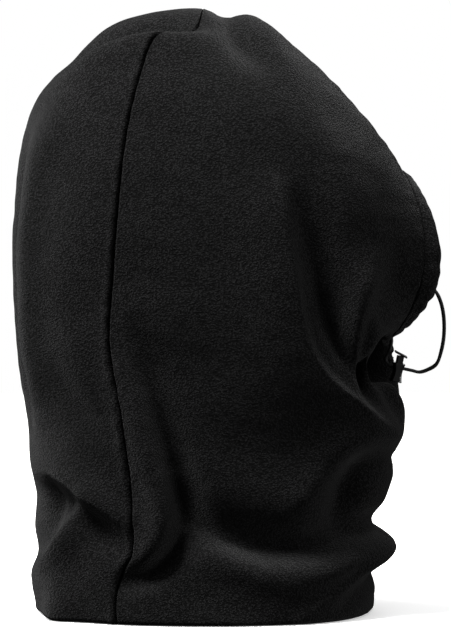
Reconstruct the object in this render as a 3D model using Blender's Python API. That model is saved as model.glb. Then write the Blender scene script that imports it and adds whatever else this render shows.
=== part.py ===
"""Fleece balaclava: a three-panel hood standing on its neck hem, with an elastic drawcord round the
face opening and a push-button cord lock at the chin.

Frame: metres, +Z up, -Y the way the face looks, +X the wearer's left. The hem stands on Z = 0 and the
origin is under the middle of the hood.
"""

import math

import bmesh
import bpy
import numpy as np
from mathutils import Matrix, Vector

# ---------------------------------------------------------------- driving dimensions (metres)
CLOTH = 0.003  # thickness of the fleece
GAP = 0.0003  # clearance kept between neighbouring pieces

# The hood is a bent tube of closed rings, from the face opening over the crown and down to the hem.
# Each ring lies between a point on the upper or back outline and one on the front outline.
# (upper y, upper z, front y, front z, half width, forward bow of its sides)
RINGS = (
    (-0.1150, 0.2840, -0.1050, 0.1730, 0.0500, 0.0172),
    (-0.1030, 0.3020, -0.0985, 0.1630, 0.0590, 0.0110),
    (-0.0800, 0.3300, -0.0990, 0.1540, 0.0740, 0.0060),
    (-0.0400, 0.3670, -0.1060, 0.1430, 0.0860, 0.0020),
    (0.0120, 0.3880, -0.1120, 0.1300, 0.0900, 0.0),
    (0.0770, 0.3760, -0.1150, 0.1120, 0.0910, 0.0),
    (0.1210, 0.3270, -0.1130, 0.0950, 0.0900, 0.0),
    (0.1360, 0.2540, -0.1080, 0.0780, 0.0870, 0.0),
    (0.1350, 0.1790, -0.1040, 0.0610, 0.0840, 0.0),
    (0.1250, 0.1100, -0.1050, 0.0430, 0.0840, 0.0),
    (0.1215, 0.0520, -0.0990, 0.0220, 0.0880, 0.0),
    (0.1200, 0.0, -0.0970, 0.0, 0.0920, 0.0),
)
FACE, CROWN, HEM = 0, 4, len(RINGS) - 1  # ring numbers of the rim, the crown crossing and the hem
FULLNESS = 0.05  # how far a ring's sides are squarer than an ellipse

# The back seam in side view, (y, z), from the crown down to the hem.
BACK_SEAM = (
    (0.0120, 0.4000),
    (0.0150, 0.3800),
    (0.0300, 0.3725),
    (0.0450, 0.3600),
    (0.0560, 0.3290),
    (0.0630, 0.2880),
    (0.0690, 0.2190),
    (0.0710, 0.1740),
    (0.0640, 0.1320),
    (0.0575, 0.0800),
    (0.0570, 0.0480),
    (0.0670, 0.0200),
    (0.0650, -0.0200),
)

CASING_WIDTH = 0.0130  # across the roll, from its stitches to its front edge
CASING_THICKNESS = 0.0085
CASING_WALL = 0.0022
CASING_END = 0.0080  # from the middle of the chin to each open end of the casing

HEM_HEIGHT = 0.0180  # how far the hem is turned up inside
SEAM_ALLOWANCE = 0.0050  # how far an overlocked seam stands into the hood
SEAM_WIDTH = 0.0040
SEAM_CLEARANCE = 0.0018  # from the cloth's smooth inner face, which its facets cut inside
THREAD = 0.0010

CORD = 0.0020  # diameter of the elastic drawcord
CORD_PITCH = 0.0040  # between the two strands where they pass through the lock

LOCK_CENTRE = Vector((0.0, -0.1130, 0.1565))  # middle of the cord hole
LOCK_LEAN = math.radians(12.0)  # how far the top of the lock leans forward
LOCK_WIDTH = 0.0150
LOCK_DEPTH = 0.0080
LOCK_TOP = 0.0030  # from the cord hole's middle up to the body's rim
LOCK_BOTTOM = -0.0092
LOCK_WAIST = 0.0010  # how far the front and back faces are hollowed
LOCK_CORNER = 0.0018
LOCK_FLOOR = 0.0012
HOLE_WIDTH = 0.0078
HOLE_HEIGHT = 0.0030
HOLE_CORNER = 0.0012
PLUNGER_WIDTH = 0.0104
PLUNGER_DEPTH = 0.0044
PLUNGER_CORNER = 0.0008
PLUNGER_BOTTOM = -0.0026
PLUNGER_STROKE = 0.0035
CAP_TILT = math.radians(16.0)  # the thumb plate slopes more than the lock leans
CAP_THICKNESS = 0.0014
CAP_CLEARANCE = 0.0004  # between the plate and the body when the button is fully down
SPRING_WIRE = 0.0005
SPRING_DIAMETER = 0.0034
SPRING_TURNS = 4
SLIDE_RANGE = 0.0100  # how far the lock is pushed along the straight cord

# A lead's route on the left side, from its casing end down behind the lock, (x, y, z).
LEAD_ROUTE = (
    (0.0050, -0.1085, 0.1765),
    (0.0036, -0.1086, 0.1725),
    (0.0028, -0.1072, 0.1670),
    (0.0022, -0.1050, 0.1618),
)

# The middle of the free loop's two strands, from the end of their straight run to near the tip.
LOOP_ROUTE = (
    (-0.0012, -0.1320, 0.1552),
    (-0.0036, -0.1375, 0.1590),
    (-0.0055, -0.1402, 0.1665),
    (-0.0085, -0.1418, 0.1760),
    (-0.0125, -0.1418, 0.1865),
    (-0.0170, -0.1402, 0.1965),
    (-0.0215, -0.1368, 0.2050),
    (-0.0255, -0.1325, 0.2105),
)
LOOP_SPREAD = 0.0054  # half the distance between the strands at their widest


# ---------------------------------------------------------------- the hood's surface
def smooth_path(points, amounts):
    """Points on a Catmull-Rom curve; an amount counts the given points from 0."""
    given = np.asarray(points, float)
    amounts = np.asarray(amounts, float)
    padded = np.vstack((2 * given[0] - given[1], given, 2 * given[-1] - given[-2]))
    first = np.clip(np.floor(amounts).astype(int), 0, len(given) - 2)
    t = (amounts - first)[..., None]
    a, b, c, d = (padded[first + k] for k in range(4))
    return 0.5 * (
        2 * b + (c - a) * t + (2 * a - 5 * b + 4 * c - d) * t**2 + (3 * b - a - 3 * c + d) * t**3
    )


def hood_point(angle, ring):
    """Outer surface of the hood. Angle 0 is the upper or back outline, pi the front one, +X between."""
    angle, ring = np.broadcast_arrays(np.asarray(angle, float), np.asarray(ring, float))
    upper_y, upper_z, front_y, front_z, width, bow = np.moveaxis(smooth_path(RINGS, ring), -1, 0)
    across_y, across_z = (upper_y - front_y) / 2, (upper_z - front_z) / 2
    chord = np.hypot(across_y, across_z)
    side = np.sin(angle)
    x = width * (side + FULLNESS * np.sin(3 * angle)) / (1 - FULLNESS)
    y = (upper_y + front_y) / 2 + across_y * np.cos(angle) - bow * across_z / chord * side**2
    z = (upper_z + front_z) / 2 + across_z * np.cos(angle) + bow * across_y / chord * side**2
    return np.stack((x, y, z), -1)


def hood_normal(angle, ring):
    step = 1e-3
    along = hood_point(angle + step, ring) - hood_point(angle - step, ring)
    low, high = np.maximum(ring - step, 0), np.minimum(ring + step, HEM)
    down = hood_point(angle, high) - hood_point(angle, low)
    normal = np.cross(along, down)
    return normal / np.linalg.norm(normal, axis=-1, keepdims=True)


def inside(angle, ring, depth):
    """A point below the outer surface. Near the hem the normal is levelled so that the hem stays flat."""
    normal = hood_normal(angle, ring)
    level = np.clip(np.asarray(ring, float) - (HEM - 1), 0, 1)[..., None]
    normal = normal * np.concatenate((np.ones_like(level), np.ones_like(level), 1 - level), -1)
    normal = normal / np.linalg.norm(normal, axis=-1, keepdims=True)
    return hood_point(angle, ring) - depth * normal


def seam_side(y, z):
    """Above zero in front of the back seam, in side view, and below zero behind it."""
    route = smooth_path(BACK_SEAM, np.linspace(0, len(BACK_SEAM) - 1, 200))
    start, run = route[:-1], np.diff(route, axis=0)
    offset = np.array((y, z)) - start
    t = np.clip((offset * run).sum(1) / (run**2).sum(1), 0, 1)
    miss = offset - t[:, None] * run
    nearest = int(np.argmin((miss**2).sum(1)))
    return float(run[nearest, 1] * miss[nearest, 0] - run[nearest, 0] * miss[nearest, 1])


def seam_angle(ring):
    """Angle at which a ring crosses the back seam."""
    if ring <= CROWN:
        return 0.0
    low, high = 0.0, math.pi / 2
    for _ in range(40):
        middle = (low + high) / 2
        _x, y, z = hood_point(middle, ring)
        if seam_side(y, z) < 0:
            low = middle
        else:
            high = middle
    return (low + high) / 2


# ---------------------------------------------------------------- building solids
def clear_scene():
    for item in list(bpy.data.objects):
        bpy.data.objects.remove(item, do_unlink=True)


def material(name, colour, roughness, metallic=0.0):
    made = bpy.data.materials.get(name) or bpy.data.materials.new(name)
    made.use_nodes = True
    shader = made.node_tree.nodes["Principled BSDF"]
    shader.inputs["Base Color"].default_value = (*colour, 1.0)
    shader.inputs["Roughness"].default_value = roughness
    shader.inputs["Metallic"].default_value = metallic
    return made


def add_object(name, mesh, finish, parent=None, location=(0, 0, 0)):
    made = bpy.data.objects.new(name, mesh)
    made.data.materials.clear()
    made.data.materials.append(finish)
    bpy.context.collection.objects.link(made)
    made.location = location
    made.parent = parent
    return made


def solid_mesh(name, corners, faces):
    mesh = bpy.data.meshes.new(name)
    mesh.from_pydata([tuple(map(float, c)) for c in corners], [], faces)
    shape = bmesh.new()
    shape.from_mesh(mesh)
    bmesh.ops.remove_doubles(shape, verts=shape.verts, dist=1e-6)
    bmesh.ops.recalc_face_normals(shape, faces=shape.faces)
    shape.to_mesh(mesh)
    shape.free()
    mesh.shade_smooth()
    mesh.set_sharp_from_angle(angle=math.radians(40))
    return mesh


def sheet_solid(name, angles, rings, thickness, depth=0.0, closed=False):
    """A curved sheet as a closed solid. angles and rings are grids of the same shape, one row a ring."""
    outer = inside(angles, rings, depth)
    inner = inside(angles, rings, depth + thickness)
    rows, columns = angles.shape
    corners = np.concatenate((outer.reshape(-1, 3), inner.reshape(-1, 3)))
    layer = rows * columns
    spans = columns if closed else columns - 1

    def at(row, column, under=0):
        return under * layer + row * columns + column % columns

    faces = []
    for row in range(rows - 1):
        for column in range(spans):
            quad = [at(row, column), at(row, column + 1), at(row + 1, column + 1), at(row + 1, column)]
            faces.append(quad)
            faces.append([corner + layer for corner in reversed(quad)])
    for column in range(spans):
        for row in (0, rows - 1):
            edge = [at(row, column), at(row, column + 1), at(row, column + 1, 1), at(row, column, 1)]
            faces.append(edge)
    if not closed:
        for row in range(rows - 1):
            for column in (0, columns - 1):
                edge = [at(row, column), at(row + 1, column), at(row + 1, column, 1), at(row, column, 1)]
                faces.append(edge)
    return solid_mesh(name, corners, faces)


def tangents_along(route, closed):
    """Unit tangents along a route."""
    route = np.asarray(route, float)
    if closed:
        tangent = np.roll(route, -1, 0) - np.roll(route, 1, 0)
    else:
        tangent = np.gradient(route, axis=0)
    return tangent / np.linalg.norm(tangent, axis=1, keepdims=True)


def swept_section(name, route, sides, ups, section, closed, bore=None):
    """Sweep a section, (side, up) pairs, along a route. A bore section makes it a tube open at both ends."""
    route, sides, ups = (np.asarray(item, float) for item in (route, sides, ups))
    count, loops = len(section), [section] if bore is None else [section, bore]
    corners = []
    for loop in loops:
        for a, b in loop:
            corners.append(route + a * sides + b * ups)
    grid = np.stack(corners, 1)
    faces = []
    steps = len(route)
    stride = count * len(loops)

    def at(step, corner, loop=0):
        return (step % steps) * stride + loop * count + corner % count

    for step in range(steps if closed else steps - 1):
        for corner in range(count):
            for loop in range(len(loops)):
                faces.append(
                    [at(step, corner, loop), at(step, corner + 1, loop),
                     at(step + 1, corner + 1, loop), at(step + 1, corner, loop)]
                )
    if not closed:
        for step in (0, steps - 1):
            if bore is None:
                faces.append([at(step, corner) for corner in range(count)])
            else:
                for corner in range(count):
                    faces.append([at(step, corner), at(step, corner + 1),
                                  at(step, corner + 1, 1), at(step, corner, 1)])
    return solid_mesh(name, grid.reshape(-1, 3), faces)


def ellipse(width, height, corners=10):
    turns = [2 * math.pi * k / corners for k in range(corners)]
    return [(width / 2 * math.cos(t), height / 2 * math.sin(t)) for t in turns]


def round_tube(name, route, diameter, finish, parent=None):
    """A cord or wire: a curve with a round bevel and filled caps."""
    curve = bpy.data.curves.new(name, "CURVE")
    curve.dimensions = "3D"
    curve.bevel_depth = diameter / 2
    curve.bevel_resolution = 2
    curve.use_fill_caps = True
    spline = curve.splines.new("POLY")
    spline.points.add(len(route) - 1)
    for point, place in zip(spline.points, route):
        point.co = (*map(float, place), 1.0)
    return add_object(name, curve, finish, parent)


# ---------------------------------------------------------------- fleece panels
ROWS_ABOVE_CROWN = 11
ROWS_BELOW_CROWN = 25
SIDE_COLUMNS = 17
BACK_COLUMNS = 19


def lower_rings():
    """Ring numbers from the crown to the hem, closer together near the crown where the seam turns."""
    below = CROWN + (HEM - CROWN) * np.linspace(0, 1, ROWS_BELOW_CROWN) ** 1.35
    return np.concatenate(([CROWN, CROWN + 0.015, CROWN + 0.03, CROWN + 0.055], below[1:]))


def side_panel(name, side, finish):
    rings = np.concatenate((np.linspace(FACE, CROWN, ROWS_ABOVE_CROWN)[:-1], lower_rings()))
    share = np.linspace(0, 1, SIDE_COLUMNS)
    width = hood_point(math.pi / 2, rings)[:, 0]
    edge = GAP / width
    start = np.array([seam_angle(ring) for ring in rings]) + edge
    end = math.pi - edge
    angles = start[:, None] + (end - start)[:, None] * share
    grid = np.broadcast_to(rings[:, None], angles.shape)
    return add_object(name, sheet_solid(name, side * angles, grid, CLOTH), finish)


def back_panel(finish):
    rings = lower_rings()[1:]
    share = np.linspace(-1, 1, BACK_COLUMNS)
    width = hood_point(math.pi / 2, rings)[:, 0]
    reach = np.array([seam_angle(ring) for ring in rings]) - GAP / width
    angles = reach[:, None] * share
    grid = np.broadcast_to(rings[:, None], angles.shape)
    return add_object("back_panel", sheet_solid("back_panel", angles, grid, CLOTH), finish)


def neck_hem(finish):
    """The cloth turned up inside the lower edge, a closed band."""
    angles = np.linspace(-math.pi, math.pi, 57)[:-1]
    height = hood_point(0.0, HEM - 1.0)[2]
    top = HEM - HEM_HEIGHT / height
    rings = np.linspace(top, HEM, 4)
    grid_angles, grid_rings = np.meshgrid(angles, rings)
    mesh = sheet_solid("neck_hem", grid_angles, grid_rings, CLOTH, CLOTH + 2 * GAP, closed=True)
    return add_object("neck_hem", mesh, finish)


# ---------------------------------------------------------------- seams and stitching
def seam_bead(name, angles, rings, finish, closed=False):
    """An overlocked allowance standing into the hood along a seam."""
    half = SEAM_ALLOWANCE / 2
    route = inside(angles, rings, CLOTH + SEAM_CLEARANCE + half)
    ups = hood_normal(angles, rings)
    tangent = tangents_along(route, closed)
    sides = np.cross(tangent, ups)
    sides /= np.linalg.norm(sides, axis=1, keepdims=True)
    section = ellipse(SEAM_WIDTH, SEAM_ALLOWANCE, 8)
    return add_object(name, swept_section(name, route, sides, ups, section, closed), finish)


def back_seam_overlock(finish):
    rings = CROWN + (HEM - 0.45 - CROWN) * np.linspace(0, 1, 26) ** 1.5
    right = np.array([seam_angle(ring) for ring in rings])
    angles = np.concatenate((-right[::-1], right[1:]))
    return seam_bead("back_seam_overlock", angles, np.concatenate((rings[::-1], rings[1:])), finish)


def middle_seam_overlock(name, angle, start, end, finish):
    rings = np.linspace(start, end, 14)
    return seam_bead(name, np.full_like(rings, angle), rings, finish)


def casing_frame(angles):
    """Middle of the casing roll, its forward direction along the cloth and the cloth's outward normal."""
    step = 0.05
    edge = hood_point(angles, np.zeros_like(angles))
    forward = edge - hood_point(angles, np.full_like(angles, step))
    forward /= np.linalg.norm(forward, axis=1, keepdims=True)
    normal = hood_normal(angles, np.full_like(angles, step))
    normal -= forward * (forward * normal).sum(1, keepdims=True)
    normal /= np.linalg.norm(normal, axis=1, keepdims=True)
    middle = edge + forward * (CASING_WIDTH / 2 + GAP) - normal * CLOTH / 2
    return middle, forward, normal


def casing_angles(count):
    """Angles round the rim from one open end at the chin, over the brow, to the other."""
    stop = math.pi - CASING_END / RINGS[0][4]
    return np.linspace(-stop, stop, count)


def face_casing(finish):
    route, forward, normal = casing_frame(casing_angles(57))
    wall = 2 * CASING_WALL
    outer = ellipse(CASING_WIDTH, CASING_THICKNESS, 12)
    bore = ellipse(CASING_WIDTH - wall, CASING_THICKNESS - wall, 12)
    mesh = swept_section("face_casing", route, forward, normal, outer, False, bore)
    return add_object("face_casing", mesh, finish)


def casing_stitching(finish):
    angles = casing_angles(56)
    edge = hood_point(angles, np.zeros_like(angles))
    _middle, _forward, normal = casing_frame(angles)
    return round_tube("casing_stitching", edge + normal * (THREAD / 2 + GAP), THREAD, finish)


def hem_stitching(finish):
    """Thread along the top of the turned hem, inside the hood."""
    angles = np.linspace(-math.pi, math.pi, 73)[:-1]
    height = hood_point(0.0, HEM - 1.0)[2]
    rings = np.full_like(angles, HEM - 0.8 * HEM_HEIGHT / height)
    depth = 2 * CLOTH + 3 * GAP + THREAD / 2 + 0.0002
    route = inside(angles, rings, depth)
    ups = hood_normal(angles, rings)
    sides = np.cross(tangents_along(route, True), ups)
    mesh = swept_section("hem_stitching", route, sides, ups, ellipse(THREAD, THREAD, 6), True)
    return add_object("hem_stitching", mesh, finish)


# ---------------------------------------------------------------- cord lock
def lock_axes():
    """The lock's up direction, in which its button stands, and the direction of its cord hole."""
    up = Vector((0.0, -math.sin(LOCK_LEAN), math.cos(LOCK_LEAN)))
    out = Vector((0.0, -math.cos(LOCK_LEAN), -math.sin(LOCK_LEAN)))
    return up, out


def lock_frame():
    """An empty at the middle of the cord hole: its X is across, its -Y out of the hole, its Z up."""
    frame = bpy.data.objects.new("cord_lock_frame", None)
    bpy.context.collection.objects.link(frame)
    frame.matrix_world = Matrix.Translation(LOCK_CENTRE) @ Matrix.Rotation(LOCK_LEAN, 4, "X")
    return frame


def rounded_box(width, depth, bottom, top, radius, hollow=0.0, levels=1, corner_steps=3):
    """Corners and faces of a box with rounded upright edges, its front and back hollowed by a curve."""
    loops = []
    for level in range(levels + 1):
        share = level / levels
        height = bottom + (top - bottom) * share
        waist = hollow * math.sin(math.pi * share)
        loop = []
        for quarter in range(4):
            for step in range(corner_steps + 1):
                turned = math.pi / 2 * (quarter + step / corner_steps)
                x_sign = 1 if quarter in (0, 3) else -1
                y_sign = 1 if quarter in (0, 1) else -1
                x = x_sign * (width / 2 - radius) + radius * math.cos(turned)
                y = y_sign * (depth / 2 - radius - waist) + radius * math.sin(turned)
                loop.append((x, y, height))
        loops.append(loop)
    count = len(loops[0])
    corners = [corner for loop in loops for corner in loop]
    faces = [list(range(count))[::-1], [len(corners) - count + k for k in range(count)]]
    for level in range(levels):
        for k in range(count):
            low, high = level * count, (level + 1) * count
            faces.append([low + k, low + (k + 1) % count, high + (k + 1) % count, high + k])
    return corners, faces


def cut_away(target, cutter):
    cutter.hide_render = True
    cutter.display_type = "WIRE"
    cut = target.modifiers.new("cut", "BOOLEAN")
    cut.operation = "DIFFERENCE"
    cut.solver = "EXACT"
    cut.object = cutter


def bar_cutter(name, width, height, radius, finish, parent):
    """A cutter for the cord's way through the lock: a bar along Y of rounded rectangular section."""
    corners, faces = rounded_box(width, height, -1.5 * LOCK_DEPTH, 1.5 * LOCK_DEPTH, radius)
    turned = [(x, z, y) for x, y, z in corners]
    return add_object(name, solid_mesh(name, turned, faces), finish, parent)


def cord_lock_body(frame, finish):
    name = "cord_lock_body"
    shell = rounded_box(
        LOCK_WIDTH, LOCK_DEPTH, LOCK_BOTTOM, LOCK_TOP, LOCK_CORNER, LOCK_WAIST, levels=6)
    body = add_object(name, solid_mesh(name, *shell), finish, frame)
    name = "lock_well_cutter"
    well_width, well_depth = PLUNGER_WIDTH + 2 * GAP, PLUNGER_DEPTH + 2 * GAP
    past_rim = LOCK_TOP + LOCK_DEPTH / 4
    room = rounded_box(well_width, well_depth, LOCK_BOTTOM + LOCK_FLOOR, past_rim, PLUNGER_CORNER)
    well = add_object(name, solid_mesh(name, *room), finish, frame)
    hole = bar_cutter("lock_hole_cutter", HOLE_WIDTH, HOLE_HEIGHT, HOLE_CORNER, finish, frame)
    cut_away(body, well)
    cut_away(body, hole)
    return body


def thumb_plate(bottom, finish, frame):
    """The part of the button that the thumb presses, higher at its back edge."""
    name = "thumb_plate_part"
    width, depth = LOCK_WIDTH - 0.0010, LOCK_DEPTH + 0.0004
    corners, faces = rounded_box(width, depth, bottom, bottom + CAP_THICKNESS, LOCK_CORNER)
    slope = math.tan(CAP_TILT)
    sloped = [(x, y, z + slope * (y + LOCK_DEPTH / 2)) for x, y, z in corners]
    plate = add_object(name, solid_mesh(name, sloped, faces), finish, frame)
    plate.hide_render = True
    plate.display_type = "WIRE"
    return plate


def cord_lock_plunger(frame, finish):
    """The button: a block with a tall cord slot, under a sloping thumb plate."""
    name = "cord_lock_plunger"
    cap_bottom = LOCK_TOP + PLUNGER_STROKE + CAP_CLEARANCE
    into_plate = cap_bottom + 0.6 * CAP_THICKNESS
    box = rounded_box(PLUNGER_WIDTH, PLUNGER_DEPTH, PLUNGER_BOTTOM, into_plate, PLUNGER_CORNER)
    block = add_object(name, solid_mesh(name, *box), finish, frame)
    join = block.modifiers.new("join", "BOOLEAN")
    join.operation = "UNION"
    join.solver = "EXACT"
    join.object = thumb_plate(cap_bottom, finish, frame)
    slot_height = CORD + PLUNGER_STROKE + 2 * GAP
    slot = bar_cutter("lock_slot_cutter", HOLE_WIDTH, slot_height, PLUNGER_CORNER, finish, frame)
    slot.location = (0.0, 0.0, slot_height / 2 - CORD / 2 - GAP)
    cut_away(block, slot)
    return block


def cord_lock_spring(frame, finish):
    floor = LOCK_BOTTOM + LOCK_FLOOR + SPRING_WIRE / 2 + GAP
    top = PLUNGER_BOTTOM - SPRING_WIRE / 2 - GAP
    count = SPRING_TURNS * 12
    radius = (SPRING_DIAMETER - SPRING_WIRE) / 2
    route = []
    for step in range(count + 1):
        turned = 2 * math.pi * SPRING_TURNS * step / count
        height = floor + (top - floor) * step / count
        route.append((radius * math.cos(turned), radius * math.sin(turned), height))
    return round_tube("cord_lock_spring", route, SPRING_WIRE, finish, frame)


# ---------------------------------------------------------------- drawcord
def lock_mouth(side, ahead):
    """A point on one strand's line through the lock, so far ahead of the hole's middle."""
    _up, out = lock_axes()
    return LOCK_CENTRE + Vector((side * CORD_PITCH / 2, 0.0, 0.0)) + out * ahead


def lead_route(side):
    """One lead, from its casing end down and round into the back of the lock, as chosen points."""
    straight = (-LOCK_DEPTH / 2 - 0.0012, -LOCK_DEPTH / 2 + 0.0006, 0.0, LOCK_DEPTH / 2 - 0.0002)
    route = [(side * x, y, z) for x, y, z in LEAD_ROUTE]
    return route + [tuple(lock_mouth(side, ahead)) for ahead in straight]


def smooth_route(points, spacing):
    """Evenly spaced points on the smooth curve through the given points."""
    fine = smooth_path(points, np.linspace(0, len(points) - 1, 60 * len(points)))
    run = np.concatenate(([0.0], np.cumsum(np.linalg.norm(np.diff(fine, axis=0), axis=1))))
    count = max(2, int(round(run[-1] / spacing)) + 1)
    stations = np.linspace(0, run[-1], count)
    return np.stack([np.interp(stations, run, fine[:, axis]) for axis in range(3)], 1)


def drawcord(finish):
    """The held part: from the lock's mouth, up one lead, round inside the casing and back to the lock."""
    inside_casing, _forward, _normal = casing_frame(casing_angles(23))
    right = lead_route(-1.0)[::-1]
    left = lead_route(1.0)
    points = right + [tuple(point) for point in inside_casing] + left
    return round_tube("drawcord", smooth_route(points, 2.4 * CORD), CORD, finish)


def loop_points():
    """The free loop, out along one strand, round its tip and back along the other."""
    reach = LOCK_DEPTH / 2 + SLIDE_RANGE
    straight = (LOCK_DEPTH / 2 + GAP, LOCK_DEPTH / 2 + SLIDE_RANGE / 2, reach)
    left = [tuple(lock_mouth(1.0, ahead)) for ahead in straight]
    right = [tuple(lock_mouth(-1.0, ahead)) for ahead in straight]
    middle = np.array(LOOP_ROUTE)
    heading = np.gradient(middle, axis=0)
    heading /= np.linalg.norm(heading, axis=1, keepdims=True)
    across = np.array((1.0, 0.0, 0.0)) - heading * heading[:, :1]
    across /= np.linalg.norm(across, axis=1, keepdims=True)
    apart = np.interp(np.arange(len(middle)), (0, len(middle) - 1), (CORD_PITCH / 2, LOOP_SPREAD))[:, None]
    left += [tuple(point) for point in middle + across * apart]
    right += [tuple(point) for point in middle - across * apart]
    turned = np.radians((45.0, 90.0, 135.0))[:, None]
    tip = middle[-1] + LOOP_SPREAD * (across[-1] * np.cos(turned) + heading[-1] * np.sin(turned))
    return left + [tuple(point) for point in tip] + right[::-1]


def drawcord_loop(finish):
    return round_tube("drawcord_loop", smooth_route(loop_points(), 1.3 * CORD), CORD, finish)


def build():
    clear_scene()
    fleece = material("fleece", (0.012, 0.012, 0.013), 0.95)
    casing = material("casing_fleece", (0.013, 0.013, 0.014), 0.95)
    thread = material("thread", (0.010, 0.010, 0.010), 0.7)
    elastic = material("elastic", (0.014, 0.014, 0.015), 0.75)
    plastic = material("lock_plastic", (0.008, 0.008, 0.009), 0.25)
    steel = material("spring_steel", (0.55, 0.55, 0.57), 0.3, 1.0)

    back_panel(fleece)
    side_panel("left_side_panel", 1.0, fleece)
    side_panel("right_side_panel", -1.0, fleece)
    face_casing(casing)
    neck_hem(fleece)
    casing_stitching(thread)
    hem_stitching(thread)
    back_seam_overlock(thread)
    middle_seam_overlock("crown_seam_overlock", 0.0, 0.25, CROWN - 0.2, thread)
    middle_seam_overlock("chin_seam_overlock", math.pi, 0.25, HEM - 0.8, thread)
    drawcord(elastic)
    drawcord_loop(elastic)
    frame = lock_frame()
    cord_lock_body(frame, plastic)
    cord_lock_plunger(frame, plastic)
    cord_lock_spring(frame, steel)


build()
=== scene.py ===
"""The looks of the fleece balaclava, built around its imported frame.

Everything is in the frame's metres: +Z up, -Y the way the face looks, +X the wearer's left. The hood's
smooth surface is worked out as in the part's design, and the folds of the cloth are laid over it.
"""

import math

import bpy
import numpy as np
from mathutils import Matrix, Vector


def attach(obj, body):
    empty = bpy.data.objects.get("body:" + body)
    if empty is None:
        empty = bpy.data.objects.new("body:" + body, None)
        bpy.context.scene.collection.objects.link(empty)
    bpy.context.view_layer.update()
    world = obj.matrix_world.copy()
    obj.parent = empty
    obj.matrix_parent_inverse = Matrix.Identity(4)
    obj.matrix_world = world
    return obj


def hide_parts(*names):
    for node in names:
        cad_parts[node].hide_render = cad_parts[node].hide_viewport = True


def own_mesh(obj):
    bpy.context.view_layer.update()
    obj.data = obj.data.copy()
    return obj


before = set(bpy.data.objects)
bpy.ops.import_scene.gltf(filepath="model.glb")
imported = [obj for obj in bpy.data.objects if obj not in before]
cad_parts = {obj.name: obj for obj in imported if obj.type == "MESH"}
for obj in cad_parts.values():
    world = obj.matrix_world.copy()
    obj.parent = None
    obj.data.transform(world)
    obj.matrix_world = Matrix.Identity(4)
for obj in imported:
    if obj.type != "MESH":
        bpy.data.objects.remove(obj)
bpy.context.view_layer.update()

# ---------------------------------------------------------------- the part's design (metres)
CLOTH = 0.003  # thickness of the fleece
GAP = 0.0003  # between pieces that touch

# The hood's rings: upper y and z, front y and z, half width, forward bow.
RINGS = (
    (-0.1150, 0.2840, -0.1050, 0.1730, 0.0500, 0.0172),
    (-0.1030, 0.3020, -0.0985, 0.1630, 0.0590, 0.0110),
    (-0.0800, 0.3300, -0.0990, 0.1540, 0.0740, 0.0060),
    (-0.0400, 0.3670, -0.1060, 0.1430, 0.0860, 0.0020),
    (0.0120, 0.3880, -0.1120, 0.1300, 0.0900, 0.0),
    (0.0770, 0.3760, -0.1150, 0.1120, 0.0910, 0.0),
    (0.1210, 0.3270, -0.1130, 0.0950, 0.0900, 0.0),
    (0.1360, 0.2540, -0.1080, 0.0780, 0.0870, 0.0),
    (0.1350, 0.1790, -0.1040, 0.0610, 0.0840, 0.0),
    (0.1250, 0.1100, -0.1050, 0.0430, 0.0840, 0.0),
    (0.1215, 0.0520, -0.0990, 0.0220, 0.0880, 0.0),
    (0.1200, 0.0, -0.0970, 0.0, 0.0920, 0.0),
)
FACE, CROWN, HEM = 0, 4, len(RINGS) - 1
FULLNESS = 0.05  # how much fuller than an ellipse a ring is

# The back seam in side view, (y, z), from above the crown to below the hem.
BACK_SEAM = (
    (0.0120, 0.4000), (0.0150, 0.3800), (0.0300, 0.3725), (0.0450, 0.3600), (0.0560, 0.3290),
    (0.0630, 0.2880), (0.0690, 0.2190), (0.0710, 0.1740), (0.0640, 0.1320), (0.0575, 0.0800),
    (0.0570, 0.0480), (0.0670, 0.0200), (0.0650, -0.0200),
)

CASING_WIDTH = 0.0130
CASING_THICKNESS = 0.0085
CASING_END = 0.0080  # from the chin's middle to each open end
HEM_HEIGHT = 0.0180
CORD = 0.0020
CORD_PITCH = 0.0040  # between the two strands in the lock
LOCK_CENTRE = Vector((0.0, -0.1130, 0.1565))  # middle of the cord hole
LOCK_LEAN = math.radians(12.0)
LOCK_DEPTH = 0.0080
LOCK_BOTTOM = -0.0092  # from the cord hole's middle, like the plunger's bottom
LOCK_FLOOR = 0.0012
PLUNGER_BOTTOM = -0.0026
SPRING_WIRE = 0.0005
SPRING_DIAMETER = 0.0034
SPRING_TURNS = 4
SLIDE_RANGE = 0.0100
# A lead's route on the left side, from its casing end down behind the lock.
LEAD_ROUTE = (
    (0.0050, -0.1085, 0.1765),
    (0.0036, -0.1086, 0.1725),
    (0.0028, -0.1072, 0.1670),
    (0.0022, -0.1050, 0.1618),
)
# The middle line of the free loop, from the lock's mouth to the tip.
LOOP_ROUTE = (
    (-0.0012, -0.1320, 0.1552),
    (-0.0036, -0.1375, 0.1590),
    (-0.0055, -0.1402, 0.1665),
    (-0.0085, -0.1418, 0.1760),
    (-0.0125, -0.1418, 0.1865),
    (-0.0170, -0.1402, 0.1965),
    (-0.0215, -0.1368, 0.2050),
    (-0.0255, -0.1325, 0.2105),
)
LOOP_SPREAD = 0.0054  # half the distance between the strands at their widest


# ---------------------------------------------------------------- small geometry
def smooth_path(points, amounts):
    """Points on a Catmull-Rom curve; an amount counts the given points from 0."""
    given = np.asarray(points, float)
    amounts = np.asarray(amounts, float)
    padded = np.vstack((2 * given[0] - given[1], given, 2 * given[-1] - given[-2]))
    first = np.clip(np.floor(amounts).astype(int), 0, len(given) - 2)
    t = (amounts - first)[..., None]
    a, b, c, d = (padded[first + k] for k in range(4))
    return 0.5 * (
        2 * b + (c - a) * t + (2 * a - 5 * b + 4 * c - d) * t**2 + (3 * b - a - 3 * c + d) * t**3
    )


def arc_length(route):
    """How far along a route each of its points is."""
    return np.concatenate(([0.0], np.cumsum(np.linalg.norm(np.diff(route, axis=0), axis=1))))


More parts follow.
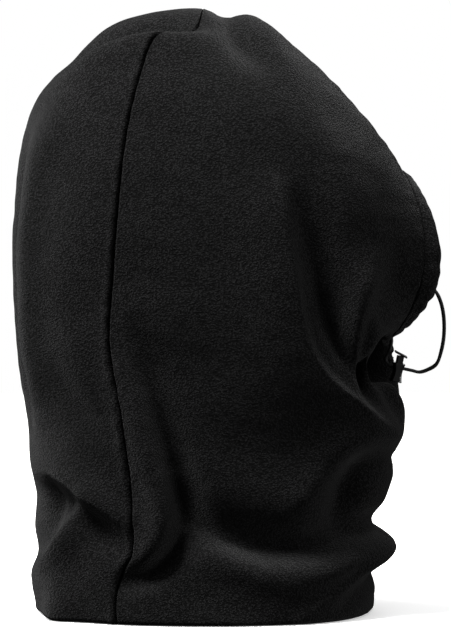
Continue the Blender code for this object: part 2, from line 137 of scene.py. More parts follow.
def read_at(stations, along, values):
    """Rows of values that are given at the lengths along, read at the stations."""
    return np.stack([np.interp(stations, along, column) for column in values.T], 1)


def smooth_route(points, spacing):
    """Evenly spaced points on the smooth curve through the given points."""
    fine = smooth_path(points, np.linspace(0, len(points) - 1, 60 * len(points)))
    along = arc_length(fine)
    count = max(2, int(round(along[-1] / spacing)) + 1)
    return read_at(np.linspace(0, along[-1], count), along, fine)


def even_route(route, spacing):
    """The same line with evenly spaced points."""
    along = arc_length(route)
    return read_at(np.linspace(0, along[-1], int(along[-1] / spacing) + 1), along, route)


def turns_round(count):
    """Angles of so many corners round a section."""
    return np.linspace(0, 2 * math.pi, count + 1)[:-1]


def unit(vectors):
    return vectors / np.maximum(np.linalg.norm(vectors, axis=-1, keepdims=True), 1e-12)


def ramp(values, low, high):
    """0 up to low, 1 from high on, and a smooth rise between."""
    t = np.clip((values - low) / (high - low), 0, 1)
    return t * t * (3 - 2 * t)


def bell(distance, width):
    """1 at no distance, and a smooth fall to nothing over about two widths."""
    return np.exp(-((distance / width) ** 2))


def waves(points, length, seed, count=14):
    """Smooth noise of about one wavelength, from -1 to 1: a sum of plane waves in fixed directions."""
    picked = np.random.default_rng(seed)
    directions = unit(picked.normal(size=(count, 3)))
    scales = picked.uniform(0.7, 1.4, count) * 2 * math.pi / length
    phases = picked.uniform(0, 2 * math.pi, count)
    total = np.zeros(points.shape[:-1])
    for direction, scale, phase in zip(directions, scales, phases):
        total += np.sin(points @ direction * scale + phase)
    return total / math.sqrt(count / 2) / 1.6


# ---------------------------------------------------------------- the hood's smooth surface
def hood_point(angle, ring):
    """Outer surface of the hood. Angle 0 is the upper or back outline, pi the front one, +X between."""
    angle, ring = np.broadcast_arrays(np.asarray(angle, float), np.asarray(ring, float))
    upper_y, upper_z, front_y, front_z, width, bow = np.moveaxis(smooth_path(RINGS, ring), -1, 0)
    across_y, across_z = (upper_y - front_y) / 2, (upper_z - front_z) / 2
    chord = np.hypot(across_y, across_z)
    side = np.sin(angle)
    x = width * (side + FULLNESS * np.sin(3 * angle)) / (1 - FULLNESS)
    y = (upper_y + front_y) / 2 + across_y * np.cos(angle) - bow * across_z / chord * side**2
    z = (upper_z + front_z) / 2 + across_z * np.cos(angle) + bow * across_y / chord * side**2
    return np.stack((x, y, z), -1)


def hood_normal(angle, ring):
    step = 1e-3
    along = hood_point(angle + step, ring) - hood_point(angle - step, ring)
    low, high = np.maximum(ring - step, 0), np.minimum(ring + step, HEM)
    down = hood_point(angle, high) - hood_point(angle, low)
    return unit(np.cross(along, down))


def seam_side(y, z):
    """Above zero in front of the back seam, in side view, and below zero behind it."""
    route = smooth_path(BACK_SEAM, np.linspace(0, len(BACK_SEAM) - 1, 200))
    start, run = route[:-1], np.diff(route, axis=0)
    offset = np.array((y, z)) - start
    t = np.clip((offset * run).sum(1) / (run**2).sum(1), 0, 1)
    miss = offset - t[:, None] * run
    nearest = int(np.argmin((miss**2).sum(1)))
    return float(run[nearest, 1] * miss[nearest, 0] - run[nearest, 0] * miss[nearest, 1])


def seam_angle(ring):
    """Angle at which a ring crosses the back seam."""
    if ring <= CROWN:
        return 0.0
    low, high = 0.0, math.pi / 2
    for _ in range(24):
        middle = (low + high) / 2
        _x, y, z = hood_point(middle, ring)
        if seam_side(y, z) < 0:
            low = middle
        else:
            high = middle
    return (low + high) / 2


# ---------------------------------------------------------------- folds of the cloth
# A fold runs along a smooth curve through points of five values: the place, (y, z) on the sides or (x, z)
# on the back and front, then the height that the cloth stands out by (in, below zero), and how far it
# reaches to the left and to the right of its run, seen from the wearer's right or from behind. All are
# in millimetres. LEANS push some crests over to the left, as shares of their height.
SIDE_FOLDS = {
    "crown_ridge": (
        (112, 330, 0, 9, 16), (93, 346, 5, 6, 16), (79, 357, 7, 5, 15), (64, 363, 7, 5, 14),
        (45, 366, 7, 5, 12), (20, 367, 3, 5, 10)),
    "crown_dent": (
        (108, 344, 0, 5, 5), (94, 356, -13, 6, 5), (76, 367, -18, 6, 5), (55, 374, -18, 6, 5),
        (34, 377, -14, 6, 5), (18, 377, -4, 5, 5)),
    "crown_front_valley": (
        (-3, 384, -4, 6, 9), (-8, 372, -7, 7, 10), (-19, 360, -6, 8, 12), (-34, 342, 0, 8, 12)),
    "crown_front_ridge": (
        (-16, 382, 4, 8, 8), (-28, 369, 5, 8, 7), (-37, 356, 4, 8, 7), (-52, 338, 0, 8, 8)),
    "cheek_ridge": (
        (-30, 290, 0, 12, 30), (-34, 266, 5, 9, 30), (-37, 244, 7, 7, 30), (-41, 220, 9, 6, 30),
        (-45, 198, 9, 5, 32), (-49, 180, 9, 6, 32), (-56, 165, 8, 5, 32), (-65, 153, 8, 5, 32),
        (-77, 142, 8, 5, 30), (-89, 132, 7, 5, 26), (-99, 122, 5, 6, 20), (-106, 110, 2, 6, 16)),
    "cheek_valley": (
        (-46, 280, 0, 16, 9), (-52, 254, -6, 16, 9), (-60, 218, -10, 15, 9), (-68, 190, -11, 12, 8),
        (-77, 170, -13, 10, 7), (-88, 154, -12, 9, 7), (-100, 141, -6, 8, 7)),
    "temple_ridge": (
        (-98, 240, 0, 9, 10), (-91, 220, 4, 8, 9), (-85, 202, 7, 7, 8), (-82, 184, 9, 6, 7),
        (-83, 166, 10, 4, 6), (-85, 150, 8, 4, 6), (-88, 138, 0, 5, 6)),
    "chin_hole": (
        (-99, 172, -4, 7, 4), (-96, 163, -12, 7, 4), (-94, 153, -15, 8, 5), (-95, 144, -9, 8, 5),
        (-99, 137, -1, 8, 5)),
    "rim_ridge": (
        (-113, 206, 0, 6, 7), (-105, 192, 4, 6, 7), (-100, 181, 5, 6, 7), (-96, 173, 3, 6, 6)),
    "front_fold": (
        (-66, 318, 0, 12, 16), (-78, 290, 2, 11, 16), (-90, 262, 3, 10, 16), (-98, 238, 0, 10, 14)),
    "lit_bulge": (
        (-86, 124, 0, 13, 14), (-75, 109, 5, 13, 14), (-62, 94, 7, 13, 14), (-52, 80, 6, 12, 13),
        (-46, 68, 2, 12, 12)),
    "chin_roll": (
        (-54, 112, 0, 14, 12), (-74, 110, 3, 13, 11), (-90, 114, 4, 12, 10), (-104, 116, 3, 11, 9)),
    "neck_valley": (
        (-110, 99, -5, 9, 11), (-98, 98, -9, 9, 12), (-88, 92, -12, 10, 13), (-82, 80, -13, 11, 13),
        (-81, 68, -11, 11, 12), (-90, 60, -6, 10, 9), (-103, 58, -2, 9, 8)),
    "big_valley": (
        (34, 92, 0, 16, 9), (22, 74, -7, 17, 9), (10, 62, -11, 17, 9), (-6, 53, -14, 17, 8),
        (-24, 48, -15, 17, 8), (-42, 47, -14, 16, 8), (-60, 48, -11, 15, 8), (-80, 52, -9, 13, 7),
        (-102, 55, -4, 10, 7)),
    "lower_bulge": (
        (12, 50, 0, 12, 14), (-6, 40, 5, 12, 14), (-30, 30, 6, 13, 14), (-55, 29, 5, 12, 12),
        (-80, 37, 5, 9, 9), (-106, 42, 5, 7, 7)),
    "roll_edge": (
        (-106, 42, 2, 8, 6), (-99, 37, 5, 10, 5), (-90, 31, 6, 12, 4), (-81, 23, 6, 13, 4),
        (-70, 16, 5, 14, 4), (-56, 8, 2, 14, 5)),
    "under_roll": (
        (-104, 27, -6, 6, 9), (-90, 20, -7, 6, 9), (-78, 12, -5, 5, 8), (-66, 4, 0, 5, 8)),
    "seam_fold": (
        (70, 200, 0, 10, 14), (66, 178, 2, 10, 13), (61, 156, 5, 9, 13), (54, 132, 8, 8, 13),
        (47, 106, 10, 7, 13), (41, 86, 11, 6, 13), (39, 70, 11, 6, 13), (41, 57, 9, 7, 12),
        (47, 46, 6, 8, 11), (56, 38, 1, 8, 9)),
    "seam_fold_valley": (
        (55, 172, 0, 13, 8), (45, 148, -4, 14, 8), (36, 120, -8, 14, 8), (28, 90, -11, 13, 7),
        (25, 68, -12, 12, 7), (30, 49, -12, 10, 7), (41, 36, -11, 8, 7), (58, 28, -4, 8, 7)),
    "seam_hollow": (
        (62, 200, 0, 12, 12), (52, 178, -3, 12, 12), (40, 158, -2, 12, 12), (26, 140, 0, 12, 12)),
    "back_ridge_a": (
        (116, 96, 0, 12, 8), (107, 93, 4, 12, 8), (98, 89, 6, 12, 7), (86, 81, 7, 11, 6),
        (73, 72, 6, 10, 6), (61, 63, 4, 9, 6), (54, 54, 0, 8, 6)),
    "back_valley_a": (
        (117, 72, -1, 9, 12), (110, 74, -4, 9, 12), (100, 73, -6, 9, 12), (88, 66, -6, 9, 12),
        (76, 57, -5, 8, 11), (63, 49, -2, 8, 10)),
    "hem_corner": (
        (106, 36, 0, 10, 10), (104, 20, 5, 10, 10), (103, 6, 8, 10, 10), (102, -8, 8, 10, 10)),
    "back_ridge_b": (
        (82, 84, 0, 10, 6), (90, 73, 5, 10, 5), (98, 58, 7, 10, 4), (106, 44, 7, 11, 4),
        (115, 31, 5, 12, 5), (120, 20, 2, 12, 6)),
    "back_triangle": (
        (111, 78, -6, 7, 7), (111, 62, -8, 6, 7), (116, 44, -5, 5, 6)),
    "back_soft": (
        (112, 204, 0, 10, 16), (99, 180, 2, 10, 16), (91, 160, 3, 9, 16), (84, 144, 3, 9, 15),
        (70, 126, 0, 9, 14)),
    "back_soft_valley": (
        (108, 170, 0, 9, 9), (99, 150, -3, 9, 9), (88, 132, -3, 9, 9), (74, 110, 0, 9, 9)),
}
BACK_FOLDS = {
    "back_edge_ridge": (
        (-46, 335, 0, 10, 14), (-47, 290, 4, 9, 14), (-46, 230, 6, 9, 14), (-47, 170, 6, 9, 14),
        (-46, 120, 0, 9, 14)),
    "back_channel": (
        (-20, 320, 0, 13, 12), (-20, 270, -6, 13, 12), (-18, 210, -8, 13, 12), (-20, 150, -7, 13, 12),
        (-22, 105, 0, 13, 12)),
}
FRONT_FOLDS = {
    "under_rim_hollow": (
        (-50, 156, -6, 11, 12), (-37, 159, -12, 11, 12), (-21, 161, -12, 11, 12), (0, 161, -11, 12, 12),
        (20, 160, -5, 12, 12), (38, 158, 0, 12, 12)),
    "under_lock_lip": (
        (-19, 160, 0, 7, 11), (-21, 152, 7, 7, 11), (-21, 144, 12, 7, 11), (-19, 134, 9, 8, 12),
        (-17, 124, 3, 9, 12), (-15, 116, 0, 9, 12)),
    "far_lip": (
        (27, 171, 9, 9, 7), (26, 162, 19, 10, 7), (25, 151, 16, 10, 8), (23, 139, 8, 11, 8),
        (20, 126, 2, 11, 9)),
}
LEANS = {"cheek_ridge": 0.2, "roll_edge": -0.25, "seam_fold": 0.2, "back_ridge_a": -0.1}
MILLIMETRE = 0.001
FOLD_STEP = 0.004  # between the points of a fold's run
FOLD_END = 0.012  # how far a fold dies out past the ends of its run
FOLD_BLEND = 0.004  # over this distance the nearest points of a run are averaged
FOLD_REACH = 2.8  # in widths from its run, a fold is nothing past this
OTHER_SIDE = 0.85  # how deep the far side's folds are beside the near side's
OTHER_BACK = 0.8  # and those on the far half of the back
OTHER_SHIFT = ((0.007, 24.0, 0.6), (0.009, 19.0, 1.4))  # of y and z: size, turns per metre and phase
MIDDLE = 0.030  # the far side's folds come in over this distance from the middle
BACK_BAND = (0.02, 0.07)  # the back's folds come in from the first y to the second
FRONT_BAND = (0.055, 0.085)  # and the front's from the first -y to the second
RIM_HOLD = 0.6  # rings over which the folds come in from the rim
UNEVEN = ((0.0007, 0.052, 3), (0.00014, 0.018, 4))  # height, wavelength and seed of the cloth's waviness


def fold_push(points, given):
    """How far a fold lifts each point (first, second coordinates), and the direction to its run's left."""
    run = smooth_route(np.array(given) * MILLIMETRE, FOLD_STEP)
    line, heights, widths = run[:, :2], run[:, 2], run[:, 3:]
    tangent = unit(np.gradient(line, axis=0))
    miss = points[:, None, :] - line
    away = np.linalg.norm(miss, axis=2)
    share = np.exp(-(away - away.min(1, keepdims=True)) / FOLD_BLEND)
    share /= share.sum(1, keepdims=True)
    # Seen from the wearer's right, or from behind, the first coordinate runs towards the left.
    across = ((miss[..., 0] * tangent[:, 1] - miss[..., 1] * tangent[:, 0]) * share).sum(1)
    left, right = (share @ widths).T
    before = -(miss[:, 0] @ tangent[0])
    after = miss[:, -1] @ tangent[-1]
    past = np.minimum(np.maximum(np.maximum(before, after), 0), np.minimum(away[:, 0], away[:, -1]))
    reach = np.where(across > 0, left, right)
    lift = (share @ heights) * bell(across, reach) * bell(past, FOLD_END)
    heading = share @ tangent
    return lift, np.stack((heading[:, 1], -heading[:, 0]), 1)


def fold_field(flat):
    """Height and sideways push, in (y, z), of all the side folds at points (y, z)."""
    lift = np.zeros(len(flat))
    push = np.zeros((len(flat), 2))
    for name, fold in SIDE_FOLDS.items():
        given = np.array(fold) * MILLIMETRE
        reach = FOLD_REACH * given[:, 3:].max()
        low, high = given[:, :2].min(0) - reach, given[:, :2].max(0) + reach
        near = ((flat > low) & (flat < high)).all(1)
        if near.any():
            more, left = fold_push(flat[near], fold)
            lift[near] += more
            push[near] += (LEANS.get(name, 0.0) * np.abs(more))[:, None] * left
    return lift, push


def other_side(points):
    """Where the far side's folds are read: the same folds, moved about so that the sides differ."""
    across, height = (
        size * np.sin(place * rate + phase)
        for (size, rate, phase), place in zip(OTHER_SHIFT, (points[:, 2], points[:, 1]))
    )
    return points[:, 1:] + np.stack((across, height), 1)


def cloth_push(points, rings):
    """How far the folds lift each point of the smooth hood, and how far they push it (x, y, z) along it."""
    shape = points.shape[:-1]
    points = points.reshape(-1, 3)
    rings = np.broadcast_to(rings, shape).reshape(-1)
    lift, push = fold_field(points[:, 1:])
    far = points[:, 0] > 0
    if far.any():
        weight = ramp(points[far, 0], 0.0, MIDDLE)
        far_lift, far_push = fold_field(other_side(points[far]))
        lift[far] += weight * (OTHER_SIDE * far_lift - lift[far])
        push[far] += weight[:, None] * (OTHER_SIDE * far_push - push[far])
    behind = ramp(points[:, 1], *BACK_BAND)
    for fold in BACK_FOLDS.values():
        for mirror, amount in ((1.0, 1.0), (-1.0, OTHER_BACK)):
            more, _left = fold_push(points[:, [0, 2]] * (mirror, 1.0), fold)
            lift += behind * amount * more
    ahead = ramp(-points[:, 1], *FRONT_BAND)
    for fold in FRONT_FOLDS.values():
        more, _left = fold_push(points[:, [0, 2]], fold)
        lift += ahead * more
    lift += sum(height * waves(points, length, seed) for height, length, seed in UNEVEN)
    hold = ramp(rings, 0.0, RIM_HOLD)
    push = np.column_stack((np.zeros(len(points)), push))
    return (lift * hold).reshape(shape), (push * hold[:, None]).reshape(*shape, 3)


def cloth_surface(angles, rings):
    """The outer surface of the folded cloth at angles and rings."""
    smooth = hood_point(angles, rings)
    normal = hood_normal(angles, rings)
    # At the hem the folds only move the cloth sideways, so that its edge stays level.
    level = np.clip(rings - (HEM - 1), 0, 1)[..., None]
    normal[..., 2:] *= 1 - level
    normal = unit(normal)
    lift, push = cloth_push(smooth, rings)
    push -= normal * (push * normal).sum(-1, keepdims=True)
    push[..., 2:] *= 1 - level
    return smooth + normal * lift[..., None] + push


def cloth_frame(angles, rings):
    """Points on the folded cloth and its outward normals there, along a line of angles and rings."""
    step = 0.006  # of an angle in radians, and of a ring
    low, high = np.maximum(rings - step, FACE), np.minimum(rings + step, HEM)
    along = cloth_surface(angles + step, rings) - cloth_surface(angles - step, rings)
    down = cloth_surface(angles, high) - cloth_surface(angles, low)
    return cloth_surface(angles, rings), unit(np.cross(along, down))


def grid_normals(grid, closed=False):
    """Outward normals of a surface grid whose columns run with the angle and rows down the hood."""
    if closed:
        wide = np.concatenate((grid[:, -1:], grid, grid[:, :1]), 1)
        along = np.gradient(wide, axis=1)[:, 1:-1]
    else:
        along = np.gradient(grid, axis=1)
    down = np.gradient(grid, axis=0)
    return unit(np.cross(along, down))


# ---------------------------------------------------------------- materials
def grey(value):
    return (value,) * 3


def feed(made, inputs):
    """Give each of a node's inputs a value, or link it to another node's output."""
    for name, value in inputs.items():
        if isinstance(value, bpy.types.NodeSocket):
            made.id_data.links.new(value, made.inputs[name])
        else:
            made.inputs[name].default_value = value


def node(tree, kind, inputs=None, **settings):
    made = tree.nodes.new(kind)
    for name, value in settings.items():
        setattr(made, name, value)
    feed(made, inputs or {})
    return made


def new_material(name, inputs):
    """A material, its node tree, and its shader with some inputs given."""
    made = bpy.data.materials.new(name)
    made.use_nodes = True
    shader = made.node_tree.nodes["Principled BSDF"]
    feed(shader, inputs)
    return made, made.node_tree, shader


def object_coordinates(tree, scale=(1, 1, 1)):
    place = node(tree, "ShaderNodeTexCoord").outputs["Object"]
    return node(tree, "ShaderNodeMapping", {"Scale": scale, "Vector": place}).outputs["Vector"]


def noise_texture(tree, vector, scale, detail=2.0, roughness=0.5):
    inputs = {"Scale": scale, "Detail": detail, "Roughness": roughness, "Vector": vector}
    return node(tree, "ShaderNodeTexNoise", inputs).outputs["Fac"]


def colour_ramp(tree, factor, stops):
    made = node(tree, "ShaderNodeValToRGB")
    elements = made.color_ramp.elements
    while len(elements) < len(stops):
        elements.new(0.5)
    for element, (place, colour) in zip(elements, stops):
        element.position = place
        element.color = (*colour, 1.0)
    tree.links.new(factor, made.inputs["Fac"])
    return made.outputs["Color"]


def math_node(tree, operation, *values):
    return node(tree, "ShaderNodeMath", dict(enumerate(values)), operation=operation).outputs["Value"]


def bump(tree, height, distance, strength):
    inputs = {"Distance": distance, "Strength": strength, "Height": height}
    return node(tree, "ShaderNodeBump", inputs).outputs["Normal"]


FLEECE_PEBBLE = 0.00128  # size of a clump of nap
FLEECE_RELIEF = 0.0012
FLEECE_SHEEN = 0.05


def fleece_material(name, dark, light):
    """Anti-pill fleece: curly clumps of nap, a little wider than high, with dark gaps between them."""
    made, tree, shader = new_material(name, {
        "Roughness": 1.0, "Specular IOR Level": 0.0, "Sheen Weight": FLEECE_SHEEN, "Sheen Roughness": 0.45})
    where = object_coordinates(tree, (1.0, 1.0, 1.2))
    warp = node(tree, "ShaderNodeTexNoise", {
        "Scale": 1 / (2.2 * FLEECE_PEBBLE), "Detail": 1.0, "Vector": where})
    moved = node(tree, "ShaderNodeVectorMath", {
        0: warp.outputs["Color"], 1: grey(1.6 * FLEECE_PEBBLE), 2: where}, operation="MULTIPLY_ADD")
    cells = node(tree, "ShaderNodeTexVoronoi", {
        "Scale": 1 / FLEECE_PEBBLE, "Smoothness": 0.5, "Vector": moved.outputs["Vector"]},
        feature="SMOOTH_F1")
    fibre = noise_texture(tree, where, 1 / (0.40 * FLEECE_PEBBLE), 3.0, 0.65)
    broad = noise_texture(tree, where, 26.0)
    gap = math_node(tree, "ADD", cells.outputs["Distance"], math_node(tree, "MULTIPLY", fibre, 0.6))
    height = math_node(tree, "SUBTRACT", 1.0, gap)
    tone = math_node(tree, "ADD", height, math_node(tree, "MULTIPLY", broad, 0.12))
    colour = colour_ramp(tree, tone, ((0.22, dark), (0.84, light)))
    # Painted shade: this attribute darkens the colour and dims the sheen along seams and stitches, where the
    # nap also lies flatter, and in the chin's hollow.
    flat_nap_and_painted_shade = node(tree, "ShaderNodeAttribute", attribute_name="flat_nap_and_painted_shade").outputs["Fac"]
    open_unshaded_nap = math_node(tree, "SUBTRACT", 1.0, math_node(tree, "MULTIPLY", flat_nap_and_painted_shade, 0.65))
    shaded = node(tree, "ShaderNodeVectorMath", {0: colour, "Scale": open_unshaded_nap}, operation="SCALE")
    feed(shader, {
        "Sheen Weight": math_node(tree, "MULTIPLY", open_unshaded_nap, FLEECE_SHEEN),
        "Base Color": shaded.outputs["Vector"],
        "Normal": bump(tree, height, FLEECE_RELIEF, 0.7),
    })
    return made


def strand_material(name, dark, light, light_at, roughness, sheen, scale, relief):
    """Fine strands, as in thread and in braided elastic cord."""
    made, tree, shader = new_material(name, {
        "Roughness": roughness, "Specular IOR Level": 0.12, "Sheen Weight": sheen, "Sheen Roughness": 0.4})
    strands = noise_texture(tree, object_coordinates(tree), scale)
    feed(shader, {
        "Base Color": colour_ramp(tree, strands, ((0.3, dark), (light_at, light))),
        "Normal": bump(tree, strands, relief, 0.5),
    })
    return made


def plastic_material(name, colour):
    """Glossy moulded plastic with a faint flow texture and slightly duller patches from handling."""
    made, tree, shader = new_material(name, {"Specular IOR Level": 0.45})
    where = object_coordinates(tree)
    wear = noise_texture(tree, where, 700.0, 3.0)
    worn = tuple(1.5 * channel for channel in colour)
    feed(shader, {
        "Roughness": colour_ramp(tree, wear, ((0.35, grey(0.10)), (0.75, grey(0.26)))),
        "Base Color": colour_ramp(tree, wear, ((0.3, colour), (0.9, worn))),
        "Normal": bump(tree, noise_texture(tree, where, 260.0, 1.0), 0.0003, 0.12),
    })
    return made


def steel_material(name):
    made, tree, shader = new_material(name, {"Roughness": 0.3, "Metallic": 1.0})
    grain = noise_texture(tree, object_coordinates(tree, (1, 1, 6)), 900.0)
    feed(shader, {"Base Color": colour_ramp(tree, grain, ((0.3, grey(0.42)), (0.8, grey(0.60))))})
    return made


# ---------------------------------------------------------------- pieces
def placed(name, data):
    """A new object in the scene with this data."""
    made = bpy.data.objects.new(name, data)
    bpy.context.scene.collection.objects.link(made)
    return made


def add_piece(name, corners, faces, finish, node_name, body="hood"):
    """A visible piece with a mesh and a material, which rides a body and takes a CAD node's place."""
    mesh = bpy.data.meshes.new(name)
    mesh.from_pydata(np.asarray(corners, float).tolist(), [], faces)
    mesh.materials.append(finish)
    mesh.shade_smooth()
    piece = placed(name, mesh)
    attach(piece, body)
    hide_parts(node_name)
    return piece


def closed_sheet(outer, inner, wraps=False):
    """Corners and faces of a sheet between two grids of the same shape. wraps joins the last column on."""
    rows, columns, _ = outer.shape
    corners = np.concatenate((outer.reshape(-1, 3), inner.reshape(-1, 3)))
    layer = rows * columns
    spans = columns if wraps else columns - 1
    row, column = np.meshgrid(np.arange(rows - 1), np.arange(spans), indexing="ij")
    row, column = row.ravel(), column.ravel()
    after = (column + 1) % columns
    quads = np.stack((row * columns + column, (row + 1) * columns + column,
                      (row + 1) * columns + after, row * columns + after), 1)
    faces = quads[:, ::-1].tolist() + (quads + layer).tolist()

    def rim(first, second):
        """Quads that close the sheet along two neighbouring runs of corners."""
        return np.stack((first, second, second + layer, first + layer), 1).tolist()

    along = np.arange(spans)
    following = (along + 1) % columns
    faces += rim(following, along)
    last = (rows - 1) * columns
    faces += rim(last + along, last + following)
    if not wraps:
        down = np.arange(rows - 1) * columns
        faces += rim(down, down + columns)
        down = down + columns - 1
        faces += rim(down + columns, down)
    return corners, faces


SIDE_ROWS = 320
ROWS_ABOVE_CROWN = 110
SIDE_COLUMNS = 132
BACK_ROWS = 250
BACK_COLUMNS = 150
EDGE_SHARES = (0.0, 0.002, 0.004, 0.006, 0.0085, 0.0115, 0.015)  # extra columns along a sewn edge
SEAM_DIVE = 0.0014  # how far a sewn edge turns in
BACK_EDGE = 0.0012  # how near its edge the back panel turns in
SIDE_EDGE = 0.0007  # and the side panels
PIPING = 0.0004  # the raised line just behind the back seam
CHIN_PAINTED_SHADE_AT = (0.004, -0.100, 0.163)  # middle of the painted shade in the hollow at the chin, where the cord bunches the cloth
CHIN_PAINTED_SHADE_REACH = (0.010, 0.024)  # painted shade at full depth up to the first distance, and none past the second
CHIN_PAINTED_SHADE = 1.3  # how dark the painted shade is there, on the scale where 1 is at a line of stitches
RIM_FLAT_NAP_AND_SHADE = 0.2  # how much of a seam's flat nap and painted shade the casing's stitches get
PIPING_AT, PIPING_WIDTH = 0.0036, 0.0020
HEM_ROUND = 0.0032  # height over which the hem's edge turns in
HEM_LEVEL = 0.006  # height over which the cloth's inner side levels out to the hem


def lower_rings(count):
    return CROWN + (HEM - CROWN) * np.linspace(0, 1, count) ** 1.15


def edge_distance(grid):
    """How far each point lies from the first and from the last column, along its row."""
    steps = np.linalg.norm(np.diff(grid, axis=1), axis=2)
    first = np.concatenate((np.zeros((len(grid), 1)), np.cumsum(steps, 1)), 1)
    return first, first[:, -1:] - first


def edged_shares(count):
    """Shares across a panel, from 0 to 1, closer together at its sewn edges."""
    start = np.array(EDGE_SHARES)
    middle = np.linspace(EDGE_SHARES[-1], 1 - EDGE_SHARES[-1], count - 2 * len(start) + 2)
    return np.concatenate((start[:-1], middle, 1 - start[-2::-1]))


def sewn(grid, normals, distance, edge, piping=0.0):
    """Turn a sewn edge in, with small puckers along it, and raise a line beside it."""
    turned = SEAM_DIVE * bell(distance, edge)
    pucker = 0.0004 * waves(grid, 0.011, 8) * bell(distance, 0.008)
    raised = piping * bell(distance - PIPING_AT, PIPING_WIDTH)
    return grid + normals * (raised + pucker - turned)[..., None]


def stitch_flat_nap_and_painted_shade(distance):
    """How flat the nap lies and how much shade is painted into it, from 0 to 1, so far from a line of
    stitches: the seam's groove is painted darker.
    """
    return bell(distance, 0.0009) + 0.2 * bell(distance, 0.0035)


def gathered_rim(grid, normals, distance, from_chin):
    """Dip the cloth into the casing's stitches, and pucker it beside them, most of all near the chin."""
    dip = 0.0002 * bell(distance, 0.0016)
    depth = 0.0003 + 0.0009 * bell(from_chin, 0.045)
    along = waves(grid, 0.010, 21, 10)
    pucker = depth * along * bell(distance, 0.012)
    return grid + normals * (pucker - dip)[..., None]


def rounded_hem(grid, normals):
    """Bring the lowest few millimetres round to the inside, as a turned hem does."""
    height = np.clip(grid[..., 2:] / HEM_ROUND, 0, 1)
    return grid - normals * (0.8 * HEM_ROUND * (1 - np.sqrt(1 - (1 - height) ** 2)))


def panel_layers(angles, rings):
    """The cloth's outer grid and its normals, which come from the smooth hood where rows crowd together."""
    grid = cloth_surface(angles, rings)
    smooth = hood_normal(angles, rings)
    normals = grid_normals(grid) * np.where(angles[:, -1:] > angles[:, :1], 1.0, -1.0)[..., None]
    crowded = (normals * smooth).sum(-1, keepdims=True) < 0.3
    return grid, unit(np.where(crowded, smooth, normals))


def mark_flat_nap_and_painted_shade(piece, amounts):
    """Give a piece's corners the amount by which its nap lies flat and has shade painted into its colour,
    which the fleece's material reads.
    """
    attribute = piece.data.attributes.new("flat_nap_and_painted_shade", "FLOAT", "POINT")
    attribute.data.foreach_set("value", np.asarray(amounts, np.float32).ravel())


def flat_size(grid):
    """Width and length that a sheet's middle layer would have laid flat, and its area."""
    down = np.linalg.norm(np.diff(grid, axis=0), axis=2).sum(0).max()
    across = np.linalg.norm(np.diff(grid, axis=1), axis=2).sum(1).max()
    first, second = np.diff(grid, axis=0)[:, :-1], np.diff(grid, axis=1)[:-1]
    area = np.linalg.norm(np.cross(first, second), axis=2).sum()
    return float(across), float(down), float(area)


def finish_panel(name, outer, finish, node_name, normals, flat_nap_and_painted_shade):
    outer[..., 2] = np.maximum(outer[..., 2], 0.0)
    across = normals.copy()
    across[..., 2:] *= np.clip(outer[..., 2:] / HEM_LEVEL, 0, 1)
    inner = outer - unit(across) * CLOTH
    inner[..., 2] = np.maximum(inner[..., 2], 0.0)
    corners, faces = closed_sheet(outer, inner)
    piece = add_piece(name, corners, faces, finish, node_name)
    mark_flat_nap_and_painted_shade(piece, np.concatenate((flat_nap_and_painted_shade.ravel(), flat_nap_and_painted_shade.ravel())))
    return piece, flat_size((outer + inner) / 2)


def side_panel(name, side, finish, node_name):
    above = np.linspace(FACE, CROWN, ROWS_ABOVE_CROWN)[:-1]
    rings = np.concatenate((above, lower_rings(SIDE_ROWS - ROWS_ABOVE_CROWN)))
    share = edged_shares(SIDE_COLUMNS)
    edge = GAP / hood_point(math.pi / 2, rings)[:, 0]
    start = np.array([seam_angle(ring) for ring in rings]) + edge
    angles = start[:, None] + (math.pi - edge - start)[:, None] * share
    grid_rings = np.broadcast_to(rings[:, None], angles.shape)
    grid, normals = panel_layers(side * angles, grid_rings)
    back, front = edge_distance(grid)
    rim, _hem = edge_distance(grid.transpose(1, 0, 2))
    outer = sewn(sewn(grid, normals, back, SIDE_EDGE), normals, front, BACK_EDGE)
    outer = gathered_rim(outer, normals, rim.T, front)
    outer = rounded_hem(outer, normals)
    # Painted shade, with flatter nap, along the sewn edges and beside the rim's stitches.
    flat_nap_and_painted_shade = np.maximum(stitch_flat_nap_and_painted_shade(np.minimum(back, front)), RIM_FLAT_NAP_AND_SHADE * stitch_flat_nap_and_painted_shade(rim.T))
    # Painted shade: the nap's colour is darkened in the hollow at the chin, under the rim beside the lock,
    # where the cloth is in shade.
    to_chin_painted_shade = np.linalg.norm(outer - CHIN_PAINTED_SHADE_AT, axis=-1)
    flat_nap_and_painted_shade = np.maximum(flat_nap_and_painted_shade, CHIN_PAINTED_SHADE * (1 - ramp(to_chin_painted_shade, *CHIN_PAINTED_SHADE_REACH)))
    if side < 0:
        outer, normals, flat_nap_and_painted_shade = outer[:, ::-1], normals[:, ::-1], flat_nap_and_painted_shade[:, ::-1]
    return finish_panel(name, outer, finish, node_name, normals, flat_nap_and_painted_shade)


def back_panel(name, finish, node_name):
    rings = lower_rings(BACK_ROWS)[1:]
    edge = GAP / hood_point(math.pi / 2, rings)[:, 0]
    reach = np.array([seam_angle(ring) for ring in rings]) - edge
    angles = reach[:, None] * (2 * edged_shares(BACK_COLUMNS) - 1)
    grid_rings = np.broadcast_to(rings[:, None], angles.shape)
    grid, normals = panel_layers(angles, grid_rings)
    left, right = edge_distance(grid)
    outer = sewn(grid, normals, np.minimum(left, right), BACK_EDGE, PIPING)
    outer = rounded_hem(outer, normals)
    # Painted shade, with flatter nap, along the back seam's sewn edges.
    return finish_panel(name, outer, finish, node_name, normals, stitch_flat_nap_and_painted_shade(np.minimum(left, right)))


